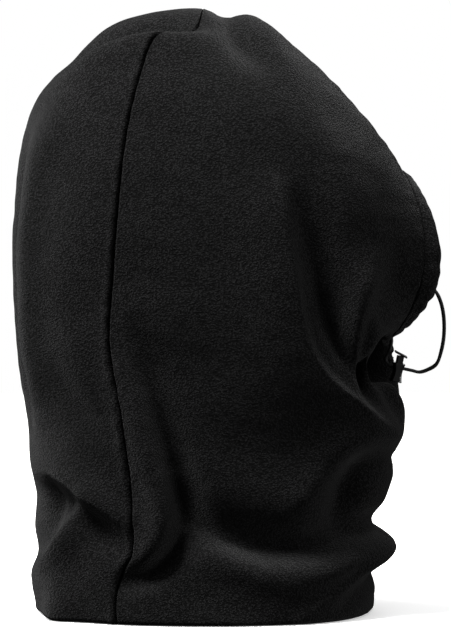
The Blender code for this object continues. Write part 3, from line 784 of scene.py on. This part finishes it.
# ---------------------------------------------------------------- casing, lock and cord
def casing_frame(angles):
    """Middle of the casing roll, its forward direction along the cloth and the cloth's outward normal."""
    step = 0.05
    edge = hood_point(angles, np.zeros_like(angles))
    forward = unit(edge - hood_point(angles, np.full_like(angles, step)))
    normal = hood_normal(angles, np.full_like(angles, step))
    normal -= forward * (forward * normal).sum(1, keepdims=True)
    normal = unit(normal)
    middle = edge + forward * (CASING_WIDTH / 2 + GAP) - normal * CLOTH / 2
    return middle, forward, normal


def casing_angles(count):
    """Angles round the rim from one open end at the chin, over the brow, to the other."""
    stop = math.pi - CASING_END / RINGS[0][4]
    return np.linspace(-stop, stop, count)


def lock_axes():
    """The lock's up direction, in which its button stands, and the direction of its cord hole."""
    up = Vector((0.0, -math.sin(LOCK_LEAN), math.cos(LOCK_LEAN)))
    out = Vector((0.0, -math.cos(LOCK_LEAN), -math.sin(LOCK_LEAN)))
    return up, out


def lock_mouth(side, ahead):
    """A point on one strand's line through the lock, so far ahead of the hole's middle."""
    _up, out = lock_axes()
    return LOCK_CENTRE + Vector((side * CORD_PITCH / 2, 0.0, 0.0)) + out * ahead


def loop_points():
    """The free loop, out along one strand, round its tip and back along the other."""
    straight = LOCK_DEPTH / 2 + np.array((GAP, SLIDE_RANGE / 2, SLIDE_RANGE))
    middle = np.array(LOOP_ROUTE)
    heading = unit(np.gradient(middle, axis=0))
    across = unit(np.array((1.0, 0.0, 0.0)) - heading * heading[:, :1])
    apart = np.interp(np.arange(len(middle)), (0, len(middle) - 1), (CORD_PITCH / 2, LOOP_SPREAD))[:, None]
    left, right = (
        np.vstack(([tuple(lock_mouth(side, ahead)) for ahead in straight], middle + side * across * apart))
        for side in (1.0, -1.0)
    )
    turned = np.radians((45.0, 90.0, 135.0))[:, None]
    tip = middle[-1] + LOOP_SPREAD * (across[-1] * np.cos(turned) + heading[-1] * np.sin(turned))
    return np.vstack((left, tip, right[::-1]))


def tube_mesh(route, sides, ups, section, bore=None):
    """Corners and faces of a section swept along a route.

    section, and bore if the tube is hollow, give (side, up) for each step and each corner.
    """
    steps, count = section.shape[:2]
    loops = [section] if bore is None else [section, bore]
    layers = [
        route[:, None] + loop[..., :1] * sides[:, None] + loop[..., 1:] * ups[:, None] for loop in loops
    ]
    corners = np.concatenate([layer.reshape(-1, 3) for layer in layers])
    layer_size = steps * count
    step, corner = np.meshgrid(np.arange(steps - 1), np.arange(count), indexing="ij")
    step, corner = step.ravel() * count, corner.ravel()
    following = (corner + 1) % count
    quads = np.stack((step + corner, step + following, step + count + following, step + count + corner), 1)
    faces = quads.tolist()
    ring, last = np.arange(count), (steps - 1) * count
    if bore is None:
        return corners, faces + [ring[::-1].tolist(), (last + ring).tolist()]
    faces += (quads[:, ::-1] + layer_size).tolist()
    near = np.roll(ring, -1)
    for first, second in ((near, ring), (ring + last, near + last)):
        faces += np.stack((first, second, second + layer_size, first + layer_size), 1).tolist()
    return corners, faces


def sweep_axes(route, normals):
    """Side and up directions of a sweep whose up keeps to the given normals."""
    tangent = unit(np.gradient(route, axis=0))
    ups = unit(normals - tangent * (normals * tangent).sum(1, keepdims=True))
    return np.cross(tangent, ups), ups


CASING_SEWN = 0.0021  # half the roll's thickness at its sewn edge
CASING_BORE = (0.0012, 0.0034, 0.0019)  # how far in front of the middle, half width and half height
CASING_LIP = 0.0022  # over this length an open end closes in
GATHER, END_GATHER, END_REACH = 0.00022, 0.00080, 0.050  # height of the gathers, and more near the ends
GATHER_LENGTH = 0.0085


def casing_section(corners):
    """Outline of the roll, level at its sewn edge and round in front.

    The turns of its corners, their place as a share of its half width, and their height.
    """
    turns = turns_round(corners)
    place = np.cos(turns)
    level = CASING_SEWN + (CASING_THICKNESS / 2 - CASING_SEWN) * ramp(place, -1.0, 0.15)
    sewn_end = np.sqrt(1 - np.clip((-place - 0.90) / 0.10, 0, 1) ** 2)
    front_end = np.sqrt(1 - np.clip(place, 0, 1) ** 2.2)
    return turns, place, np.sign(np.sin(turns)) * level * sewn_end * front_end


def face_casing(finish):
    """The rolled rim: a soft tube with small gathers, tighter near its open ends at the chin."""
    route, forward, normal = casing_frame(casing_angles(560))
    along = arc_length(route)
    to_end = np.minimum(along, along[-1] - along)
    turns, place, level = casing_section(48)
    gather = GATHER + END_GATHER * bell(to_end, END_REACH)
    lines = np.column_stack((along, 0 * along, 0 * along))
    wrinkle = (gather * waves(lines, GATHER_LENGTH, 31, 10))[:, None]
    lip = np.sqrt(np.clip(to_end / CASING_LIP, 0.12, 1))[:, None]
    wide = CASING_WIDTH / 2 * place + wrinkle * place * (place > 0)
    high = level + wrinkle * np.sign(level) * np.sqrt(np.clip(1 - place**2, 0, 1))
    section = np.stack((wide * lip, high * lip), -1)
    ahead, bore_wide, bore_high = CASING_BORE
    bore = np.stack((ahead + bore_wide * np.cos(turns), bore_high * np.sin(turns)), -1)
    corners, faces = tube_mesh(route, forward, normal, section, bore=bore[None] * lip[..., None])
    piece = add_piece("casing_cloth", corners, faces, finish, "face_casing")
    # Painted shade, with flatter nap, along the casing's sewn edge.
    sewn_edge_flat_nap_and_shade = RIM_FLAT_NAP_AND_SHADE * stitch_flat_nap_and_painted_shade((1 + place) * CASING_WIDTH / 2)
    mark_flat_nap_and_painted_shade(piece, np.tile(sewn_edge_flat_nap_and_shade, 2 * len(route)))
    return piece


HEM_FACING_ROUND = 0.0022  # height over which the turned-up band rounds off


def hem_grid():
    """The folded cloth over the turned-up band, as a closed grid, and its outward normals."""
    height = hood_point(0.0, HEM - 1.0)[2]
    rings = np.linspace(HEM - HEM_HEIGHT / height, HEM, 18)
    grid = cloth_surface(*np.meshgrid(turns_round(420) - math.pi, rings))
    return grid, grid_normals(grid, closed=True)


def neck_hem(finish):
    """The cloth turned up inside the lower edge: a band that follows the folds of the panels."""
    grid, normals = hem_grid()
    normals[..., 2:] *= np.clip(grid[..., 2:] / HEM_LEVEL, 0, 1)
    normals = unit(normals)
    near_floor = 1 - np.clip(grid[..., 2:] / HEM_FACING_ROUND, 0, 1)
    outer = grid - normals * (CLOTH + GAP - 0.3 * HEM_FACING_ROUND * near_floor)
    inner = grid - normals * (2 * CLOTH + GAP - 0.8 * HEM_FACING_ROUND * near_floor**2)
    outer[..., 2], inner[..., 2] = np.maximum(outer[..., 2], 0.0), np.maximum(inner[..., 2], 0.0)
    corners, faces = closed_sheet(outer, inner, wraps=True)
    return add_piece("neck_hem_cloth", corners, faces, finish, "neck_hem")


BACK_BINDING_END, CHIN_BINDING_END = HEM - 0.36, HEM - 0.354  # rings just above the turned-up band
CROWN_BINDING_END = CROWN - 0.25
RIM_BINDING_START = 0.3  # ring at which the bindings that meet the rim begin
BINDING_CLEAR = 0.0012  # between the cloth's inner side and a binding
BINDING_WIDE, BINDING_HIGH = 0.0014, 0.0022  # half sizes
OVERLOCK_THREAD = 0.00016  # how far the thread's loops stand out
OVERLOCK_PITCH = 0.0022


def overlock(name, angles, rings, finish, node_name):
    """A bound seam allowance standing into the hood, with the loops of its binding thread round it."""
    surface, normals = cloth_frame(angles, rings)
    route = surface - normals * (CLOTH + BINDING_CLEAR + BINDING_HIGH)
    even = even_route(route, 0.0006)
    along = arc_length(even)
    sides, ups = sweep_axes(even, read_at(along, arc_length(route), normals))
    turns = turns_round(16)
    thread = OVERLOCK_THREAD * np.cos(2 * math.pi * along / OVERLOCK_PITCH)[:, None]
    thread = thread * (0.4 + 0.6 * np.abs(np.sin(turns)))
    section = np.stack(((BINDING_WIDE + thread) * np.cos(turns), (BINDING_HIGH + thread) * np.sin(turns)), -1)
    corners, faces = tube_mesh(even, sides, ups, section)
    return add_piece(name, corners, faces, finish, node_name)


def back_overlock(finish):
    rings = CROWN + (BACK_BINDING_END - CROWN) * np.linspace(0, 1, 120) ** 1.5
    right = np.array([seam_angle(ring) for ring in rings])
    angles = np.concatenate((-right[::-1], right[1:]))
    rings = np.concatenate((rings[::-1], rings[1:]))
    return overlock("back_seam_binding", angles, rings, finish, "back_seam_overlock")


def middle_overlock(name, angle, end, finish, node_name):
    rings = np.linspace(RIM_BINDING_START, end, 90)
    return overlock(name, np.full_like(rings, angle), rings, finish, node_name)


STITCH_PITCH = 0.0031
STITCH = 0.0024  # length of one stitch
STITCH_THREAD = 0.0007
CASING_STITCH_DEPTH = 0.0013  # below the cloth's surface
HEM_STITCH_ROW = 4  # the row of the hem's grid that the stitches follow


def stitch_row(name, route, normals, finish, node_name):
    """A row of stitches: short lengths of thread whose ends dip into the cloth."""
    even = even_route(route, 0.0002)
    along = arc_length(even)
    sides, ups = sweep_axes(even, read_at(along, arc_length(route), normals))
    turns = turns_round(8)
    circle = np.stack((np.cos(turns), np.sin(turns)), 1)
    share = np.linspace(0, 1, 7)
    bend = np.sin(math.pi * share)
    section = (STITCH_THREAD / 2 * (0.55 + 0.45 * bend))[:, None, None] * circle
    lift = (0.5 * STITCH_THREAD * (bend - 0.75))[:, None]
    corners, faces = [], []
    for start in np.arange(STITCH_PITCH / 2, along[-1] - STITCH_PITCH, STITCH_PITCH):
        at = np.searchsorted(along, start + share * STITCH)
        more, around = tube_mesh(even[at] + ups[at] * lift, sides[at], ups[at], section)
        shift = len(corners) * len(more)
        faces += [[corner + shift for corner in face] for face in around]
        corners.append(more)
    return add_piece(name, np.concatenate(corners), faces, finish, node_name)


def casing_stitches(finish):
    angles = casing_angles(400)
    edge = hood_point(angles, np.zeros_like(angles))
    _middle, forward, normal = casing_frame(angles)
    route = edge - normal * CASING_STITCH_DEPTH + forward * 0.0002
    return stitch_row("casing_stitches", route, normal, finish, "casing_stitching")


def hem_stitches(finish):
    grid, normals = hem_grid()
    grid, normals = grid[HEM_STITCH_ROW], normals[HEM_STITCH_ROW]
    route = grid - normals * (2 * CLOTH + 2 * GAP)
    closed_route, inward = np.vstack((route, route[:1])), -np.vstack((normals, normals[:1]))
    return stitch_row("hem_stitches", closed_route, inward, finish, "hem_stitching")


def spring_coil(finish):
    """The spring under the button."""
    up, out = (np.array(direction) for direction in lock_axes())
    low, high = LOCK_BOTTOM + LOCK_FLOOR + GAP, PLUNGER_BOTTOM - GAP
    turned = np.linspace(0, 2 * math.pi * SPRING_TURNS, 32 * SPRING_TURNS + 1)[:, None]
    radial = np.cos(turned) * (1.0, 0.0, 0.0) - np.sin(turned) * out
    heights = np.linspace(low + SPRING_WIRE / 2, high - SPRING_WIRE / 2, len(turned))[:, None]
    route = np.array(LOCK_CENTRE) + (SPRING_DIAMETER - SPRING_WIRE) / 2 * radial + heights * up
    sides, ups = sweep_axes(route, radial)
    turns = turns_round(12)
    circle = SPRING_WIRE / 2 * np.stack((np.cos(turns), np.sin(turns)), 1)
    corners, faces = tube_mesh(route, sides, ups, np.broadcast_to(circle, (len(route), *circle.shape)))
    piece = add_piece("lock_spring_coil", corners, faces, finish, "cord_lock_spring",
                      body="cord_lock")
    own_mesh(piece)
    return piece


LOCK_EDGE = 0.0004  # rounding of the moulded edges
SAME_CORNER = 0.00001


def finish_lock_node(node_name, finish):
    """Give a lock piece its material, and round its moulded edges."""
    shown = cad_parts[node_name]
    shown.data.materials.clear()
    shown.data.materials.append(finish)
    joined = shown.modifiers.new("joined", "WELD")
    joined.merge_threshold = SAME_CORNER
    rounded = shown.modifiers.new("edges", "BEVEL")
    rounded.width = LOCK_EDGE
    rounded.segments = 4
    rounded.limit_method = "ANGLE"
    rounded.angle_limit = math.radians(20)
    rounded.use_clamp_overlap = False
    rounded.harden_normals = True


CORD_STEP = 0.25 * CORD
SHORT_OF_LOOP = 0.00003  # the held cord ends this much short of the free loop
BRAID_STRANDS = 6
BRAID_PITCH = 0.0046


def braided_tube(route):
    """A round cord with the crossing strands of its braid standing out a little."""
    tangent = unit(np.gradient(route, axis=0))
    sides, ups = sweep_axes(route, unit(np.cross(tangent, (1.0, 0.0, 0.0))))
    turns = turns_round(24)
    phase = 2 * math.pi * arc_length(route)[:, None] / BRAID_PITCH
    crossing = np.maximum(np.abs(np.sin(BRAID_STRANDS / 2 * turns + phase)),
                          np.abs(np.sin(BRAID_STRANDS / 2 * turns - phase)))
    radius = CORD / 2 * (0.90 + 0.12 * crossing)
    section = np.stack((radius * np.cos(turns), radius * np.sin(turns)), -1)
    return tube_mesh(route, sides, ups, section)


def lead_route(side):
    """One lead, from its casing end down and round into the back of the lock, as chosen points."""
    half = LOCK_DEPTH / 2
    straight = (-half - 0.0012, -half + 0.0006, 0.0, half + GAP - SHORT_OF_LOOP)
    route = [(side * x, y, z) for x, y, z in LEAD_ROUTE]
    return route + [tuple(lock_mouth(side, ahead)) for ahead in straight]


def held_cord(finish):
    """The held part of the drawcord, through the casing and down both leads into the lock."""
    inside_casing, _forward, _normal = casing_frame(casing_angles(23))
    points = np.vstack((lead_route(-1.0)[::-1], inside_casing, lead_route(1.0)))
    corners, faces = braided_tube(smooth_route(points, CORD_STEP))
    return add_piece("drawcord_held", corners, faces, finish, "drawcord")


def free_loop(finish):
    route = smooth_route(loop_points(), CORD_STEP)
    corners, faces = braided_tube(route)
    piece = add_piece("drawcord_free_loop", corners, faces, finish, "drawcord_loop")
    return piece


# ---------------------------------------------------------------- camera, light and floor
SKY = ((0.30, 0.08), (0.55, 0.28), (1.0, 0.78))  # (height, from 0 below to 1 overhead; brightness)
LOOK_AT = (0, 0, 0.2)
LIGHTS = {  # place, size and power
    "top_soft": ((-0.50, 0.80, 1.60), 0.75, 104.0),
    "back_soft": ((0.7, 1.4, 0.9), 0.9, 16.0),
    "front_soft": ((-0.5, -1.55, 0.18), 0.45, 12.0),
    "far_soft": ((1.7, -0.3, 1.0), 0.9, 11.0),
}
WHITE = (1.0, 1.0, 1.0, 1.0)
FLOOR_HALF = 2.2
FLOOR_HEIGHT = -0.0004  # just clear of the hem
FLOOR_WHITE = 0.92
FLOOR_GLOW = 0.4  # lifts the floor to the backdrop's white


def make_camera():
    """Looks at the wearer's right side from slightly above, with the hood filling the frame's height."""
    target = Vector((0.0, -0.0016, 0.1872))
    distance = 2.4
    shown_height = 0.4128
    elevation = math.radians(2.5)
    data = bpy.data.cameras.new("camera")
    data.sensor_width = 24.0
    data.lens = data.sensor_width * distance / shown_height
    camera = placed("camera", data)
    towards = Vector((-math.cos(elevation), 0.0, math.sin(elevation)))
    camera.location = target + distance * towards
    camera.rotation_euler = (-towards).to_track_quat("-Z", "Y").to_euler()
    bpy.context.scene.camera = camera


def area_light(name, place, size, power):
    data = bpy.data.lights.new(name, "AREA")
    data.shape = "DISK"
    data.size = size
    data.energy = power
    light = placed(name, data)
    light.location = place
    light.rotation_euler = (Vector(LOOK_AT) - Vector(place)).to_track_quat("-Z", "Y").to_euler()


def soft_sky(tree, backdrop):
    """The white backdrop is what shows; the light comes from a sky that is brighter overhead."""
    where = node(tree, "ShaderNodeTexCoord").outputs["Generated"]
    height = node(tree, "ShaderNodeSeparateXYZ", {"Vector": where}).outputs["Z"]
    upright = math_node(tree, "MULTIPLY_ADD", height, 0.5, 0.5)
    sky = node(tree, "ShaderNodeBackground", {
        "Color": colour_ramp(tree, upright, [(place, grey(level)) for place, level in SKY])})
    mix = node(tree, "ShaderNodeMixShader", {
        "Fac": node(tree, "ShaderNodeLightPath").outputs["Is Camera Ray"],
        1: sky.outputs["Background"], 2: backdrop.outputs["Background"]})
    feed(tree.nodes["World Output"], {"Surface": mix.outputs["Shader"]})


def make_stage():
    world = bpy.data.worlds.new("studio")
    world.use_nodes = True
    background = world.node_tree.nodes["Background"]
    feed(background, {"Color": WHITE, "Strength": 1.0})
    soft_sky(world.node_tree, background)
    bpy.context.scene.world = world
    bpy.context.scene.view_settings.view_transform = "Standard"
    mesh = bpy.data.meshes.new("floor")
    corners = [(x * FLOOR_HALF, y * FLOOR_HALF, 0) for x, y in ((-1, -1), (1, -1), (1, 1), (-1, 1))]
    mesh.from_pydata(corners, [], [(0, 1, 2, 3)])
    floor = placed("floor", mesh)
    floor.location.z = FLOOR_HEIGHT
    finish, _tree, _shader = new_material("floor_white", {
        "Roughness": 0.9, "Specular IOR Level": 0.0, "Base Color": (*grey(FLOOR_WHITE), 1.0),
        "Emission Color": WHITE, "Emission Strength": FLOOR_GLOW})
    mesh.materials.append(finish)
    # The lit floor would fill the folds from below and shine in the lock's sides.
    floor.visible_diffuse = False
    floor.visible_glossy = False
    for name, (place, size, power) in LIGHTS.items():
        area_light(name, place, size, power)


# ---------------------------------------------------------------- the scene
make_camera()
make_stage()
FLEECE = fleece_material("fleece_look", grey(0.0034), (0.0170, 0.0170, 0.0173))
THREAD = strand_material("thread_look", grey(0.0015), grey(0.0060), light_at=0.8, roughness=0.8,
                         sheen=0.03, scale=3500.0, relief=0.00015)
BRAID = strand_material("elastic_look", grey(0.014), grey(0.038), light_at=0.75, roughness=0.7,
                        sheen=0.02, scale=2600.0, relief=0.0002)
PLASTIC = plastic_material("lock_look", (0.002, 0.002, 0.0022))
STEEL = steel_material("spring_look")

free_loop(BRAID)
held_cord(BRAID)
right_cloth, right_size = side_panel("right_side_cloth", -1.0, FLEECE, "right_side_panel")
left_cloth, left_size = side_panel("left_side_cloth", 1.0, FLEECE, "left_side_panel")
back_cloth, back_size = back_panel("back_cloth", FLEECE, "back_panel")
rim_pieces = [face_casing(FLEECE), casing_stitches(THREAD)]
hem_pieces = [neck_hem(FLEECE), hem_stitches(THREAD)]
back_binding = back_overlock(THREAD)
crown_binding = middle_overlock(
    "crown_seam_binding", 0.0, CROWN_BINDING_END, THREAD, "crown_seam_overlock")
chin_binding = middle_overlock(
    "chin_seam_binding", math.pi, CHIN_BINDING_END, THREAD, "chin_seam_overlock")

for lock_node in ("cord_lock_body", "cord_lock_plunger"):
    finish_lock_node(lock_node, PLASTIC)
spring_coil(STEEL)
